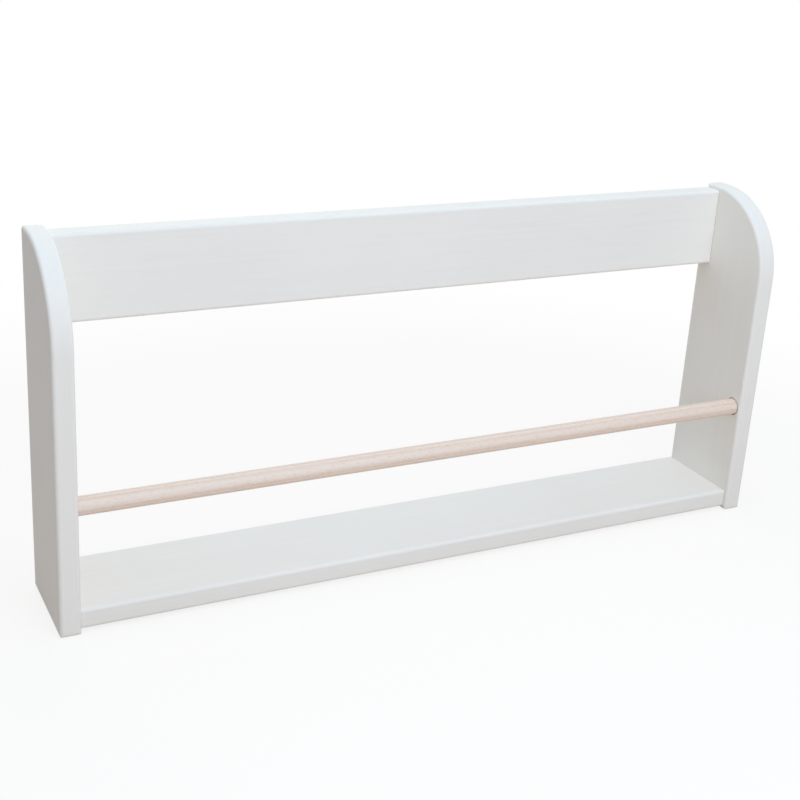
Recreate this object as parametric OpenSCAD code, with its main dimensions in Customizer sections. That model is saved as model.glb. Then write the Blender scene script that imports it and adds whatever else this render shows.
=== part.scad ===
// Wall bookshelf with two round-shouldered side panels, a back rail, a bottom board and a front rod.
// X runs along the shelf, +Y points at the wall, and Z = 0 is the underside of the side panels.
// The rail and the board are doweled and glued between the panels. The rod lies loose in two
// blind sockets and turns in them, and the shelf hangs on two keyhole plates let into the rail.

/* [Side panels] */
// Width over both side panels
overall_w = 700; // [360:1:1200]
// Height of the side panels
side_h = 322; // [250:1:600]
// Depth of the side panels, wall to front
side_d = 93; // [88:1:250]
// Thickness of the side panels
side_t = 18; // [16:0.5:28]
// Radius of the round shoulder at the top of the front
shoulder_r = 78; // [20:1:84]

/* [Rounded edges] */
// Radius milled along the panels' top, front and bottom and along the fronts of rail and board
edge_r = 3; // [1:0.5:6]
// Radius sanded on the edges at the wall
sanded_r = 1; // [0.5:0.25:2]
// Chamfer round both ends of rail and board, which shows as a fine line at each joint
end_break = 0.8; // [0.2:0.1:1]

/* [Back rail] */
// Height of the rail
rail_h = 75; // [64:1:120]
// Thickness of the rail
rail_t = 18; // [16:0.5:28]
// Step from the panels' tops down to the rail
rail_drop = 4; // [0.5:0.5:20]

/* [Bottom board] */
// Thickness of the board
board_t = 18; // [15:0.5:28]
// Height of the board's underside above the panels' undersides
board_lift = 3; // [0.5:0.5:30]
// Step from the panels' fronts back to the board's front
board_set_back = 4; // [1:0.5:20]

/* [Front rod] */
// Diameter of the rod
rod_d = 16; // [10:0.5:18]
// Distance of the rod's axis behind the panels' fronts
rod_set_back = 12; // [12:0.5:40]
// Height of the rod's axis
rod_z = 111; // [50:1:150]
// Chamfer at the rod's ends
rod_chamfer = 1; // [0.5:0.25:2]
// Depth of the rod's sockets in the panels
socket_depth = 10; // [6:0.5:12]
// Space all round the rod in its sockets
socket_clearance = 0.1; // [0.02:0.01:0.1]
// Chamfer round the mouths of the sockets
socket_chamfer = 0.8; // [0.4:0.1:1]
// Space between each end of the rod and the bottom of its socket
rod_end_play = 0.5; // [0.2:0.1:1.5]

/* [Dowel pins] */
// Diameter of the dowel pins
pin_d = 8; // [6:0.5:9]
// Length of the dowel pins
pin_l = 35; // [28:1:45]
// Length of each dowel pin that goes into a side panel
pin_in_side = 12; // [8:0.5:12]
// Glue space all round a dowel pin
pin_clearance = 0.1; // [0.05:0.05:0.3]
// Glue space at each end of a dowel pin
pin_end_gap = 1; // [0.5:0.25:2]
// Chamfer at the ends of the dowel pins
pin_chamfer = 1; // [0.5:0.25:1.5]
// Number of glue flutes on a dowel pin
flute_count = 12; // [6:1:16]
// Radius of the flutes' round bottoms
flute_r = 0.6; // [0.4:0.1:0.8]
// Depth of the flutes
flute_depth = 0.4; // [0.2:0.1:0.6]
// Distance between the two dowel pins at each end of the rail
rail_pin_pitch = 44; // [24:1:50]
// Distance between the two dowel pins at each end of the board
board_pin_pitch = 52; // [24:1:60]

/* [Keyhole hangers] */
// Distance of the hangers' centres from the panels' outer faces
hanger_inset = 100; // [60:1:140]
// Width of a hanger plate, with round ends
plate_w = 16; // [15:0.5:24]
// Length of a hanger plate
plate_l = 50; // [46:1:58]
// Thickness of a hanger plate
plate_t = 2; // [1.5:0.25:3]
// Space all round a hanger plate in its recess
plate_clearance = 0.2; // [0.1:0.05:0.5]
// Diameter of the round entry for the head of a wall screw
entry_d = 9.5; // [7:0.5:10.5]
// Width of the slot that the wall screw's shank slides into
slot_w = 4.5; // [3.5:0.25:5.5]
// Travel from the entry's centre up to the end of the slot
slot_travel = 12; // [9:0.5:13]
// Depth of the pocket for the wall screw's head, behind the plate
pocket_depth = 8; // [5:0.5:10]
// Space all round the entry in the pocket
pocket_clearance = 1; // [0.5:0.25:2]

/* [Hanger screws] */
// Distance between the two screws of a hanger plate
screw_pitch = 38; // [35:0.5:38]
// Length of the screws
screw_l = 12; // [8:0.5:13]
// Diameter of the screws' shanks
screw_d = 3; // [2.5:0.1:3.5]
// Diameter of the countersunk heads
screw_head_d = 6; // [5:0.1:6.5]
// Length of the conical points
screw_tip_l = 3; // [2:0.5:4]
// Space all round a screw
screw_clearance = 0.1; // [0.05:0.05:0.2]
// Length of the arms of the cross recess
recess_l = 3.2; // [2.5:0.1:3.6]
// Width of the arms of the cross recess
recess_w = 0.6; // [0.4:0.1:0.8]
// Depth of the cross recess
recess_depth = 1; // [0.6:0.1:1.2]

/* [Hidden] */
$fn = 64;

white_paint = [0.93, 0.93, 0.91];
bare_beech = [0.87, 0.73, 0.60];
zinc_steel = [0.74, 0.75, 0.77];

wall_y = side_d / 2;
front_y = -side_d / 2;
inner_x = overall_w / 2 - side_t;
rail_top = side_h - rail_drop;
rail_mid_z = rail_top - rail_h / 2;
rail_mid_y = wall_y - rail_t / 2;
board_d = side_d - board_set_back;
board_mid_y = wall_y - board_d / 2;
board_mid_z = board_lift + board_t / 2;
rod_y = front_y + rod_set_back;
rod_l = 2 * (inner_x + socket_depth - rod_end_play);
hanger_x = overall_w / 2 - hanger_inset;
// The corners of the rail and of the board, seen from the left: milled in front, sanded at the wall
front_edges = [edge_r, sanded_r, sanded_r, edge_r];
// Past a face that is cut, so that no skin is left
over = 1;

// A rectangle from the origin with a radius for each corner:
// low left, low right, high right and high left
module rounded_rect(w, h, radii) {
    corners = [[0, 0], [w, 0], [w, h], [0, h]];
    difference() {
        square([w, h]);
        for (i = [0 : 3])
            translate(corners[i]) rotate(90 * i) difference() {
                translate([-over, -over]) square(radii[i] + over);
                translate([radii[i], radii[i]]) circle(radii[i]);
            }
    }
}

// A slot with round ends, from one centre to another one above it
module round_slot(width, low, high) {
    translate([-width / 2, low]) square([width, high - low]);
    translate([0, low]) circle(d = width);
    translate([0, high]) circle(d = width);
}

// Turns a drawing of depth and height into a bar that runs along X
module along_x(length) {
    rotate([90, 0, 90]) linear_extrude(length) children();
}

// Turns a drawing on the wall's plane into a plate or a pocket of this depth
module into_back(depth) {
    translate([0, wall_y, 0]) rotate([90, 0, 0]) linear_extrude(depth) children();
}

// Places two things, one for each side of the shelf
module both_sides() {
    children();
    mirror([1, 0, 0]) children();
}

// The places of the dowel pins on the left panel's inner face
rail_pins = [for (k = [1, -1]) [rail_mid_y, rail_mid_z + k * rail_pin_pitch / 2]];
board_pins = [for (k = [-1, 1]) [board_mid_y + k * board_pin_pitch / 2, board_mid_z]];

// A fluted pin with chamfered ends that starts inside the left panel and runs along X
module dowel_pin(place) {
    flute_out = pin_d / 2 + flute_r - flute_depth;
    tip_r = pin_d / 2 - pin_chamfer;
    color(bare_beech)
        translate([-inner_x - pin_in_side, place[0], place[1]]) rotate([0, 90, 0])
        intersection() {
            linear_extrude(pin_l) difference() {
                circle(d = pin_d);
                for (i = [0 : flute_count - 1])
                    rotate(i * 360 / flute_count) translate([flute_out, 0]) circle(flute_r);
            }
            rotate_extrude() polygon([
                [0, 0], [tip_r, 0], [pin_d / 2 + over, pin_chamfer + over],
                [pin_d / 2 + over, pin_l - pin_chamfer - over], [tip_r, pin_l], [0, pin_l]
            ]);
        }
}

// The holes for a row of dowel pins: in the left panel and in the piece beside it
module pin_holes(places) {
    for (place = places)
        translate([-inner_x - pin_in_side - pin_end_gap, place[0], place[1]])
            rotate([0, 90, 0])
            cylinder(h = pin_l + 2 * pin_end_gap, r = pin_d / 2 + pin_clearance);
}

// A rectangle with its four corners cut off at 45 degrees
module broken_rect(w, h) {
    c = end_break;
    polygon([[c, 0], [w - c, 0], [w, c], [w, h - c], [w - c, h], [c, h], [0, h - c], [0, c]]);
}

// A bar that fits between the panels, from a corner at the origin
module cross_bar(depth, height, radii) {
    length = 2 * inner_x;
    intersection() {
        along_x(length) rounded_rect(depth, height, radii);
        linear_extrude(height) broken_rect(length, depth);
        translate([0, depth, 0]) rotate([90, 0, 0]) linear_extrude(depth) broken_rect(length, height);
    }
}

// The quarter disc of the round shoulder, with both edges of its rim milled
module shoulder() {
    rotate([0, -90, 0]) rotate([0, 0, -90]) rotate_extrude(angle = 90)
        rounded_rect(shoulder_r, side_t, [0, edge_r, edge_r, 0]);
}

// The left panel without its holes: the edges of both faces are milled except at the wall
module side_blank() {
    shoulder_y = front_y + shoulder_r;
    shoulder_z = side_h - shoulder_r;
    seen_from_above = [edge_r, edge_r, sanded_r, sanded_r];
    seen_from_front = [edge_r, edge_r, edge_r, edge_r];
    seen_from_side = [edge_r, sanded_r, sanded_r, sanded_r];
    translate([-overall_w / 2, 0, 0]) {
        difference() {
            intersection() {
                translate([0, front_y, 0])
                    linear_extrude(side_h) rounded_rect(side_t, side_d, seen_from_above);
                translate([0, wall_y, 0]) rotate([90, 0, 0])
                    linear_extrude(side_d) rounded_rect(side_t, side_h, seen_from_front);
                translate([0, front_y, 0])
                    along_x(side_t) rounded_rect(side_d, side_h, seen_from_side);
            }
            translate([-over, front_y - over, shoulder_z])
                cube([side_t + 2 * over, shoulder_r + over, shoulder_r + over]);
        }
        translate([side_t, shoulder_y, shoulder_z]) shoulder();
    }
}

// The blind hole for the rod's left end, with a chamfered mouth
module rod_socket() {
    socket_r = rod_d / 2 + socket_clearance;
    translate([-inner_x, rod_y, rod_z]) rotate([0, 90, 0]) rotate_extrude() polygon([
        [0, -socket_depth], [socket_r, -socket_depth], [socket_r, -socket_chamfer],
        [socket_r + socket_chamfer + over, over], [0, over]
    ]);
}

module left_side() {
    color(white_paint) difference() {
        side_blank();
        pin_holes(rail_pins);
        pin_holes(board_pins);
        rod_socket();
    }
}

module right_side() {
    mirror([1, 0, 0]) left_side();
}

module back_rail() {
    color(white_paint) difference() {
        translate([-inner_x, wall_y - rail_t, rail_top - rail_h])
            cross_bar(rail_t, rail_h, front_edges);
        both_sides() {
            pin_holes(rail_pins);
            hanger_cuts();
        }
    }
}

module bottom_board() {
    color(white_paint) difference() {
        translate([-inner_x, wall_y - board_d, board_lift])
            cross_bar(board_d, board_t, front_edges);
        both_sides() pin_holes(board_pins);
    }
}

// The rod, a turned dowel with chamfered ends
module front_rod() {
    rod_r = rod_d / 2;
    color(bare_beech)
        translate([-rod_l / 2, rod_y, rod_z]) rotate([0, 90, 0]) rotate_extrude()
        polygon([
            [0, 0], [rod_r - rod_chamfer, 0], [rod_r, rod_chamfer],
            [rod_r, rod_l - rod_chamfer], [rod_r - rod_chamfer, rod_l], [0, rod_l]
        ]);
}

// The outline of a hanger plate, grown by a clearance
module plate_outline(grow) {
    reach = (plate_l - plate_w) / 2;
    round_slot(plate_w + 2 * grow, -reach, reach);
}

// The places of a plate's two screws, above and below its centre
screw_heights = [for (k = [1, -1]) k * screw_pitch / 2];

// What is routed and drilled in the rail's back for the left hanger
module hanger_cuts() {
    pocket_w = entry_d + 2 * pocket_clearance;
    translate([-hanger_x, 0, rail_mid_z]) {
        translate([0, over, 0]) into_back(plate_t + over) plate_outline(plate_clearance);
        into_back(plate_t + pocket_depth) round_slot(pocket_w, -slot_travel / 2, slot_travel / 2);
        for (height = screw_heights) translate([0, wall_y, height]) rotate([90, 0, 0])
            cylinder(h = screw_l + screw_clearance, r = screw_d / 2 + screw_clearance);
    }
}

// A steel plate whose round entry narrows upward into a slot
module hanger_plate() {
    hole_r = screw_d / 2 + screw_clearance;
    sink_r = screw_head_d / 2 + screw_clearance;
    color(zinc_steel) translate([-hanger_x, 0, rail_mid_z]) difference() {
        into_back(plate_t) plate_outline(0);
        translate([0, over, 0]) into_back(plate_t + 2 * over) {
            translate([0, -slot_travel / 2]) circle(d = entry_d);
            round_slot(slot_w, -slot_travel / 2, slot_travel / 2);
        }
        for (height = screw_heights) translate([0, wall_y, height]) rotate([90, 0, 0]) {
            cylinder(h = plate_t + over, r = hole_r);
            cylinder(h = sink_r - hole_r, r1 = sink_r, r2 = hole_r);
        }
    }
}

// A countersunk wood screw with a cross recess, its head level with the plate
module hanger_screw(height) {
    shank_r = screw_d / 2;
    head_r = screw_head_d / 2;
    color(zinc_steel)
        translate([-hanger_x, wall_y, rail_mid_z + height]) rotate([90, 0, 0])
        difference() {
            rotate_extrude() polygon([
                [0, 0], [head_r, 0], [shank_r, head_r - shank_r],
                [shank_r, screw_l - screw_tip_l], [0, screw_l]
            ]);
            for (turn = [0, 90])
                rotate(turn) translate([-recess_l / 2, -recess_w / 2, -over])
                    cube([recess_l, recess_w, recess_depth + over]);
        }
}

module on_right() {
    mirror([1, 0, 0]) children();
}

left_side();
right_side();
back_rail();
bottom_board();
front_rod();
dowel_pin(rail_pins[0]);  // rail_pin_left_upper
dowel_pin(rail_pins[1]);  // rail_pin_left_lower
on_right() dowel_pin(rail_pins[0]);  // rail_pin_right_upper
on_right() dowel_pin(rail_pins[1]);  // rail_pin_right_lower
dowel_pin(board_pins[0]);  // board_pin_left_front
dowel_pin(board_pins[1]);  // board_pin_left_back
on_right() dowel_pin(board_pins[0]);  // board_pin_right_front
on_right() dowel_pin(board_pins[1]);  // board_pin_right_back
hanger_plate();  // left_hanger_plate
on_right() hanger_plate();  // right_hanger_plate
hanger_screw(screw_heights[0]);  // left_hanger_upper_screw
hanger_screw(screw_heights[1]);  // left_hanger_lower_screw
on_right() hanger_screw(screw_heights[0]);  // right_hanger_upper_screw
on_right() hanger_screw(screw_heights[1]);  // right_hanger_lower_screw
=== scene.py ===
import math
import bmesh
import bpy
from mathutils import Euler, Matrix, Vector

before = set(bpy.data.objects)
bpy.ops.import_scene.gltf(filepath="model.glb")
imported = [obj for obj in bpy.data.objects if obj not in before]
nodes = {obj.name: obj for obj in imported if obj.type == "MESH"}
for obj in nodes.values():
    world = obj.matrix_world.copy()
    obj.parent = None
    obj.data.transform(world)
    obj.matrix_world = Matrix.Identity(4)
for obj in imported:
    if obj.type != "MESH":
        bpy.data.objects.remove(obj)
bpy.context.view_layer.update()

mm = 0.001
print("frame loaded:", len(nodes), "nodes")


def linearColor(hexText):
    # sRGB hex to the linear values that the shaders take
    parts = [int(hexText[i:i + 2], 16) / 255 for i in (1, 3, 5)]
    return [c / 12.92 if c <= 0.04045 else ((c + 0.055) / 1.055) ** 2.4 for c in parts] + [1.0]


def addNode(tree, kind, settings=None, links=None):
    # settings name a property or an input socket, links go from an output to an input
    node = tree.nodes.new(kind)
    for name, value in (settings or {}).items():
        if isinstance(name, int) or name in node.inputs:
            node.inputs[name].default_value = value
        else:
            setattr(node, name, value)
    for name, source in (links or {}).items():
        tree.links.new(source, node.inputs[name])
    return node


def newMaterial(name):
    material = bpy.data.materials.new(name)
    material.use_nodes = True
    material.node_tree.nodes.clear()
    return material, material.node_tree


noiseRange = (0.3, 0.7)          # nearly all of a noise pattern lies between these


def finishSurface(tree, tone, shine, roughness, height, relief, settings):
    # shine is the pattern that the gloss follows, height the pattern of the relief, relief its depth
    gloss = addNode(tree, "ShaderNodeMapRange", {"From Min": noiseRange[0], "From Max": noiseRange[1],
                                                 "To Min": roughness[0], "To Max": roughness[1]},
                    {"Value": shine})
    bump = addNode(tree, "ShaderNodeBump", {"Strength": 1.0, "Distance": relief}, {"Height": height})
    shader = addNode(tree, "ShaderNodeBsdfPrincipled", settings,
                     {"Base Color": tone, "Roughness": gloss.outputs["Result"],
                      "Normal": bump.outputs["Normal"]})
    addNode(tree, "ShaderNodeOutputMaterial", None, {"Surface": shader.outputs["BSDF"]})


def dress(nodeNames, material):
    for name in nodeNames:
        nodes[name].data.materials.clear()
        nodes[name].data.materials.append(material)


# White acrylic paint, rolled on smooth wood: nearly matt, with a faint broad gloss. The grain just shows
# through as long low ridges, and the roller leaves a stipple. A real stipple is under 1 mm across, here
# it is drawn coarser so that it shows.
paint = {
    "color": "#f3f1ea",
    "thinColor": "#f0ede6",       # where the coat is a little thinner
    "thinEdges": (0.12, 0.42),
    "patch": 110 * mm,
    "stipple": 2.0 * mm,
    "stippleHeight": 0.009 * mm,
    "grainWidth": 3.6 * mm,
    "grainLength": 150 * mm,
    "grainHeight": 0.006 * mm,
    "grainWaver": 0.35,
    "roughness": (0.56, 0.68),
    "ior": 1.49,
}

# The rod's sockets are drilled after painting: walls and rims of bare wood, darkened by painted shade
# round the rod
socket = {
    "color": "#8b725d",
    "centre": (0.0, -34.5 * mm, 111.0 * mm),
    "radius": 8.87 * mm,
    "end": 345 * mm,              # from the shelf's middle, short of the panels' outer faces
}


def bareShadedSockets(tree, coords, tone):
    # the paint's tone, with bare wood darkened by painted shade in the two sockets and on their rims
    fromRod = addNode(tree, "ShaderNodeMapping", {"Location": [-c for c in socket["centre"]]},
                      {"Vector": coords})
    apart = addNode(tree, "ShaderNodeSeparateXYZ", None, {"Vector": fromRod.outputs["Vector"]})
    sideways = addNode(tree, "ShaderNodeMath", {"operation": "ABSOLUTE"}, {0: apart.outputs["X"]})
    across = addNode(tree, "ShaderNodeCombineXYZ", None,
                     {"Y": apart.outputs["Y"], "Z": apart.outputs["Z"]})
    reach = addNode(tree, "ShaderNodeVectorMath", {"operation": "LENGTH"},
                    {0: across.outputs["Vector"]})
    nearRod = addNode(tree, "ShaderNodeMath", {"operation": "LESS_THAN", 1: socket["radius"]},
                      {0: reach.outputs["Value"]})
    inside = addNode(tree, "ShaderNodeMath", {"operation": "LESS_THAN", 1: socket["end"]},
                     {0: sideways.outputs["Value"]})
    bareShaded = addNode(tree, "ShaderNodeMath", {"operation": "MULTIPLY"},
                   {0: nearRod.outputs["Value"], 1: inside.outputs["Value"]})
    # one dark colour for the bare wood and the painted shade of the gap round the rod
    surface = addNode(tree, "ShaderNodeMix", {"data_type": "RGBA", "B": linearColor(socket["color"])},
                      {"Factor": bareShaded.outputs["Value"], "A": tone})
    return surface.outputs["Result"]


def makePaint(name, grainAxis, hasSockets):
    material, tree = newMaterial(name)
    coords = addNode(tree, "ShaderNodeTexCoord").outputs["Object"]
    stretch = [1 / paint["grainWidth"]] * 3
    stretch[grainAxis] = 1 / paint["grainLength"]
    stretched = addNode(tree, "ShaderNodeMapping", {"Scale": stretch}, {"Vector": coords})
    grain = addNode(tree, "ShaderNodeTexNoise", {"Scale": 1.0, "Detail": 4.0, "Roughness": 0.62,
                                                 "Distortion": paint["grainWaver"]},
                    {"Vector": stretched.outputs["Vector"]})
    stipple = addNode(tree, "ShaderNodeTexNoise", {"Scale": 1 / paint["stipple"], "Detail": 2.0},
                      {"Vector": coords})
    patch = addNode(tree, "ShaderNodeTexNoise", {"Scale": 1 / paint["patch"], "Detail": 3.0},
                    {"Vector": coords})

    # the coat is thinnest on the ridges of the grain
    thin = addNode(tree, "ShaderNodeMath", {"operation": "MULTIPLY"},
                   {0: patch.outputs["Fac"], 1: grain.outputs["Fac"]})
    thinShare = addNode(tree, "ShaderNodeMapRange", {"From Min": paint["thinEdges"][0],
                                                     "From Max": paint["thinEdges"][1]},
                        {"Value": thin.outputs["Value"]})
    tone = addNode(tree, "ShaderNodeMix", {"data_type": "RGBA", "A": linearColor(paint["color"]),
                                           "B": linearColor(paint["thinColor"])},
                   {"Factor": thinShare.outputs["Result"]}).outputs["Result"]
    if hasSockets:
        tone = bareShadedSockets(tree, coords, tone)
    ridges = addNode(tree, "ShaderNodeMath", {"operation": "MULTIPLY", 1: paint["grainHeight"]},
                     {0: grain.outputs["Fac"]})
    height = addNode(tree, "ShaderNodeMath", {"operation": "MULTIPLY_ADD", 1: paint["stippleHeight"]},
                     {0: stipple.outputs["Fac"], 2: ridges.outputs["Value"]})
    # the height is in metres already
    finishSurface(tree, tone, stipple.outputs["Fac"], paint["roughness"], height.outputs["Value"], 1.0,
                  {"IOR": paint["ior"]})
    return material


dress(("left_side", "right_side"), makePaint("white_acrylic_paint_upright_grain", 2, True))
dress(("back_rail", "bottom_board"), makePaint("white_acrylic_paint_lengthwise_grain", 0, False))
print("boards painted")

# Bare steamed beech, turned and sanded: pale, warm and faintly pink, with faint growth rings that run
# out along the rod, fine streaks and short darker flecks. Real flecks are about 0.2 mm wide, here they
# are drawn wider so that they show.
rodWood = {
    "color": "#f0e0d2",
    "lateColor": "#e8d0bd",
    "lateEdges": (0.05, 0.6),
    "fleckColor": "#d1a88c",
    "fleckEdges": (0.60, 0.72),
    "fleckDepth": 0.5,            # how far a fleck takes its own colour
    "centre": (0.0, -34.5 * mm, 111.0 * mm),
    "ringWidth": 2.7 * mm,
    "ringTilt": 24.0,             # degrees about the rod
    "ringStretch": 0.04,
    "ringWaver": 2.4,
    "runOut": 0.8,                # degrees along the rod
    "streakWidth": 1.1 * mm,
    "streakLength": 70 * mm,
    "fleckWidth": 0.6 * mm,
    "fleckLength": 4.5 * mm,
    "relief": 0.02 * mm,
    "roughness": (0.60, 0.72),
    "ior": 1.5,
}

# The pins are pressed and fluted beech, left rough, darker than the rod
pinWood = dict(rodWood, color="#dcbc9c", lateColor="#cba582", fleckColor="#a97e5c",
               centre=(0.0, 0.0, 0.0), roughness=(0.6, 0.75))


def makeBeech(name, wood):
    material, tree = newMaterial(name)
    coords = addNode(tree, "ShaderNodeTexCoord").outputs["Object"]
    centred = addNode(tree, "ShaderNodeMapping", {"Location": [-c for c in wood["centre"]]},
                      {"Vector": coords}).outputs["Vector"]
    turned = addNode(tree, "ShaderNodeMapping", {"Rotation": (math.radians(wood["ringTilt"]), 0,
                                                              math.radians(wood["runOut"])),
                                                 "Scale": (wood["ringStretch"], 1.0, 1.0)},
                     {"Vector": centred})
    # a band repeats after 2 pi / 20 of the wave's own unit
    rings = addNode(tree, "ShaderNodeTexWave", {"wave_type": "BANDS", "bands_direction": "Y",
                                                "Scale": math.pi / 10 / wood["ringWidth"],
                                                "Distortion": wood["ringWaver"], "Detail": 2.0,
                                                "Detail Scale": 0.6},
                    {"Vector": turned.outputs["Vector"]})
    streakStretch = addNode(tree, "ShaderNodeMapping",
                            {"Scale": (1 / wood["streakLength"], 1 / wood["streakWidth"],
                                       1 / wood["streakWidth"])}, {"Vector": centred})
    streaks = addNode(tree, "ShaderNodeTexNoise", {"Scale": 1.0, "Detail": 3.0, "Roughness": 0.6},
                      {"Vector": streakStretch.outputs["Vector"]})
    fleckStretch = addNode(tree, "ShaderNodeMapping",
                           {"Scale": (1 / wood["fleckLength"], 1 / wood["fleckWidth"],
                                      1 / wood["fleckWidth"])}, {"Vector": centred})
    fleckNoise = addNode(tree, "ShaderNodeTexNoise", {"Scale": 1.0, "Detail": 1.0},
                         {"Vector": fleckStretch.outputs["Vector"]})
    flecks = addNode(tree, "ShaderNodeMapRange", {"From Min": wood["fleckEdges"][0],
                                                  "From Max": wood["fleckEdges"][1],
                                                  "To Max": wood["fleckDepth"]},
                     {"Value": fleckNoise.outputs["Fac"]})

    late = addNode(tree, "ShaderNodeMath", {"operation": "MULTIPLY"},
                   {0: rings.outputs["Fac"], 1: streaks.outputs["Fac"]})
    lateShare = addNode(tree, "ShaderNodeMapRange", {"From Min": wood["lateEdges"][0],
                                                     "From Max": wood["lateEdges"][1]},
                        {"Value": late.outputs["Value"]})
    tone = addNode(tree, "ShaderNodeMix", {"data_type": "RGBA", "A": linearColor(wood["color"]),
                                           "B": linearColor(wood["lateColor"])},
                   {"Factor": lateShare.outputs["Result"]})
    flecked = addNode(tree, "ShaderNodeMix", {"data_type": "RGBA", "B": linearColor(wood["fleckColor"])},
                      {"Factor": flecks.outputs["Result"], "A": tone.outputs["Result"]})
    height = addNode(tree, "ShaderNodeMath", {"operation": "SUBTRACT"},
                     {0: streaks.outputs["Fac"], 1: flecks.outputs["Result"]})
    finishSurface(tree, flecked.outputs["Result"], streaks.outputs["Fac"], wood["roughness"],
                  height.outputs["Value"], wood["relief"], {"IOR": wood["ior"]})
    return material


dress(("front_rod",), makeBeech("sanded_beech", rodWood))
dress([name for name in nodes if "_pin_" in name], makeBeech("fluted_beech", pinWood))
print("rod and pins dressed")

# Zinc-plated steel, stamped from rolled strip: a bright grey with a faint blue and straw bloom, and
# rolling lines along the strip. Real rolling lines are finer, here they are drawn wider so that they show.
zinc = {
    "color": "#c7cacf",
    "bloomColor": "#c4c2b6",
    "bloomEdges": (0.35, 0.65),
    "bloom": 7 * mm,
    "lineWidth": 0.5 * mm,
    "lineLength": 25 * mm,
    "lineHeight": 0.004 * mm,
    "roughness": (0.24, 0.40),
}


def makeZinc(name):
    material, tree = newMaterial(name)
    coords = addNode(tree, "ShaderNodeTexCoord").outputs["Object"]
    bloom = addNode(tree, "ShaderNodeTexNoise", {"Scale": 1 / zinc["bloom"], "Detail": 3.0},
                    {"Vector": coords})
    stretched = addNode(tree, "ShaderNodeMapping",
                        {"Scale": (1 / zinc["lineWidth"], 1 / zinc["lineWidth"],
                                   1 / zinc["lineLength"])}, {"Vector": coords})
    lines = addNode(tree, "ShaderNodeTexNoise", {"Scale": 1.0, "Detail": 2.0},
                    {"Vector": stretched.outputs["Vector"]})
    bloomShare = addNode(tree, "ShaderNodeMapRange", {"From Min": zinc["bloomEdges"][0],
                                                      "From Max": zinc["bloomEdges"][1]},
                         {"Value": bloom.outputs["Fac"]})
    tone = addNode(tree, "ShaderNodeMix", {"data_type": "RGBA", "A": linearColor(zinc["color"]),
                                           "B": linearColor(zinc["bloomColor"])},
                   {"Factor": bloomShare.outputs["Result"]})
    finishSurface(tree, tone.outputs["Result"], bloom.outputs["Fac"], zinc["roughness"],
                  lines.outputs["Fac"], zinc["lineHeight"], {"Metallic": 1.0})
    return material


dress([name for name in nodes if "_hanger_" in name], makeZinc("zinc_plated_steel"))
print("hangers dressed")

plainWhite = linearColor("#ffffff")


def lookedAt(tree):
    # 1 for what the camera sees, straight, through glass or in a reflection, 0 for light on the shelf
    path = addNode(tree, "ShaderNodeLightPath")
    direct = addNode(tree, "ShaderNodeMath", {"operation": "MAXIMUM"},
                     {0: path.outputs["Is Camera Ray"], 1: path.outputs["Is Transmission Ray"]})
    return addNode(tree, "ShaderNodeMath", {"operation": "MAXIMUM"},
                   {0: direct.outputs["Value"], 1: path.outputs["Is Glossy Ray"]}).outputs["Value"]


# To the shelf the floor is a pale warm beige. To the camera and to reflections it is nearly white, with
# the shelf's soft shadow on it, and plain white at a distance.
ground = {
    "size": 12.0,
    "drop": 0.1 * mm,             # below the shelf's feet
    "color": "#cfbfae",
    "seenColor": "#fdf8f0",
    "glow": 0.80,                 # share of plain white close to the shelf
    "nearEdge": 0.42,
    "farEdge": 0.95,
}


def makeFloor():
    shape = bmesh.new()
    bmesh.ops.create_grid(shape, x_segments=1, y_segments=1, size=ground["size"] / 2)
    bmesh.ops.translate(shape, vec=(0, 0, -ground["drop"]), verts=shape.verts)
    mesh = bpy.data.meshes.new("floor")
    shape.to_mesh(mesh)
    shape.free()
    floor = bpy.data.objects.new("floor", mesh)
    bpy.context.collection.objects.link(floor)

    material, tree = newMaterial("pale_floor")
    looking = lookedAt(tree)
    coords = addNode(tree, "ShaderNodeTexCoord")
    away = addNode(tree, "ShaderNodeVectorMath", {"operation": "LENGTH"},
                   {0: coords.outputs["Object"]})
    seen = addNode(tree, "ShaderNodeMapRange", {"From Min": ground["nearEdge"],
                                                "From Max": ground["farEdge"],
                                                "To Min": ground["glow"], "To Max": 1.0,
                                                "interpolation_type": "SMOOTHSTEP"},
                   {"Value": away.outputs["Value"]})
    share = addNode(tree, "ShaderNodeMath", {"operation": "MULTIPLY"},
                    {0: looking, 1: seen.outputs["Result"]})
    tone = addNode(tree, "ShaderNodeMix", {"data_type": "RGBA", "A": linearColor(ground["color"]),
                                           "B": linearColor(ground["seenColor"])},
                   {"Factor": looking})
    matte = addNode(tree, "ShaderNodeBsdfDiffuse", None, {"Color": tone.outputs["Result"]})
    glow = addNode(tree, "ShaderNodeEmission", {"Color": plainWhite, "Strength": 1.0})
    both = addNode(tree, "ShaderNodeMixShader", None,
                   {0: share.outputs["Value"], 1: matte.outputs["BSDF"], 2: glow.outputs["Emission"]})
    # seen from beneath, the floor is clear and shows the shelf's underside
    facing = addNode(tree, "ShaderNodeNewGeometry")
    clear = addNode(tree, "ShaderNodeBsdfTransparent")
    oneSided = addNode(tree, "ShaderNodeMixShader", None,
                       {0: facing.outputs["Backfacing"], 1: both.outputs["Shader"],
                        2: clear.outputs["BSDF"]})
    addNode(tree, "ShaderNodeOutputMaterial", None, {"Surface": oneSided.outputs["Shader"]})
    mesh.materials.append(material)


makeFloor()
print("floor laid")

# The room gives an even, faintly cool light. Where the camera or a reflection looks past the shelf, it is
# plain white.
sky = {"color": "#f1f3ff", "strength": 0.389}


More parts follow.
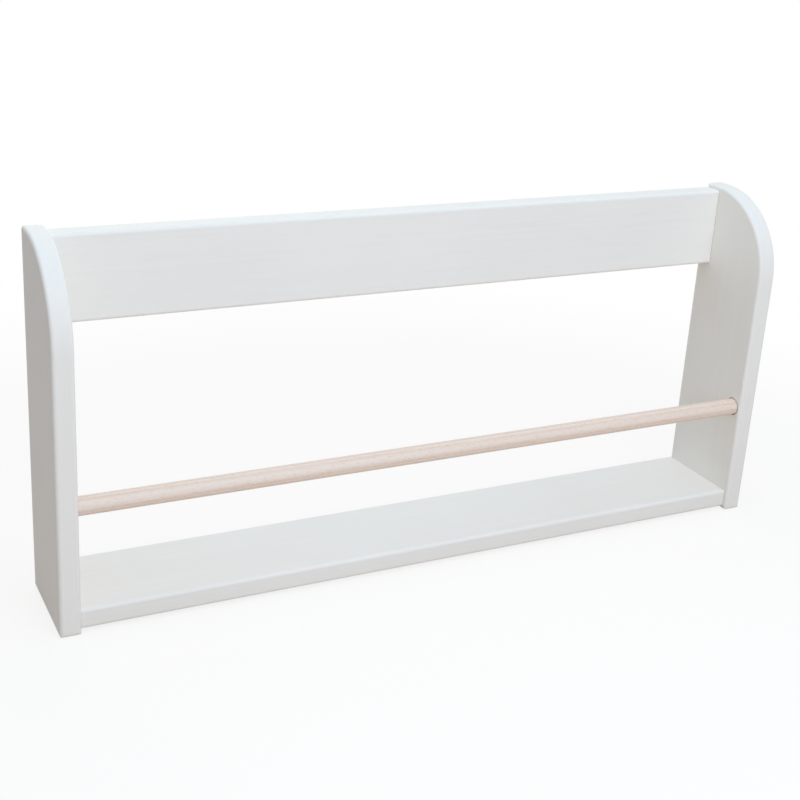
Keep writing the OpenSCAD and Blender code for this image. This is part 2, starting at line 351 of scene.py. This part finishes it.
def makeWorld():
    world = bpy.data.worlds.new("studio")
    world.use_nodes = True
    tree = world.node_tree
    tree.nodes.clear()
    even = addNode(tree, "ShaderNodeBackground", {"Color": linearColor(sky["color"]),
                                                  "Strength": sky["strength"]})
    white = addNode(tree, "ShaderNodeBackground", {"Color": plainWhite, "Strength": 1.0})
    both = addNode(tree, "ShaderNodeMixShader", None,
                   {0: lookedAt(tree), 1: even.outputs["Background"], 2: white.outputs["Background"]})
    addNode(tree, "ShaderNodeOutputWorld", None, {"Surface": both.outputs["Shader"]})
    bpy.context.scene.world = world


makeWorld()

# Three wide soft lamps: in front and overhead, both a little cool, and a weak warm one behind
lamps = {
    "frontSoftbox": {"at": (0, -1.3, 0.7), "aim": (0, 0, 0.15), "size": 1.2,
                     "power": 9.24, "color": "#e6efff"},
    "overheadSoftbox": {"at": (0, -0.2, 1.2), "aim": (0, -0.2, 0), "size": 2.4,
                        "power": 10.85, "color": "#ddf2ff"},
    "backSoftbox": {"at": (0, 1.4, 1.1), "aim": (0, 0, 0.15), "size": 1.2,
                    "power": 4.87, "color": "#ffecd4"},
}


def addLamp(name, lamp):
    light = bpy.data.lights.new(name, "AREA")
    light.shape = "DISK"
    light.size = lamp["size"]
    light.energy = lamp["power"]
    light.color = linearColor(lamp["color"])[:3]
    holder = bpy.data.objects.new(name, light)
    holder.location = lamp["at"]
    aim = Vector(lamp["aim"]) - Vector(lamp["at"])
    holder.rotation_euler = aim.to_track_quat("-Z", "Y").to_euler()
    bpy.context.collection.objects.link(holder)


for name, lamp in lamps.items():
    addLamp(name, lamp)
print("lamps placed")

# The camera stands where the photo's did: in front of the left end and above the shelf
view = {
    "at": (-0.5554, -0.9972, 0.6008),
    "turn": (70.284, -3.006, -25.86),    # degrees
    "lens": 60.38,
    "sensor": 36.0,
    "shift": (0.0223, -0.0622),
}
cameraData = bpy.data.cameras.new("camera")
cameraData.lens = view["lens"]
cameraData.sensor_width = view["sensor"]
cameraData.shift_x, cameraData.shift_y = view["shift"]
camera = bpy.data.objects.new("camera", cameraData)
camera.location = view["at"]
camera.rotation_euler = Euler([math.radians(angle) for angle in view["turn"]])
bpy.context.collection.objects.link(camera)
bpy.context.scene.camera = camera
bpy.context.scene.view_settings.view_transform = "Standard"
print("camera placed")
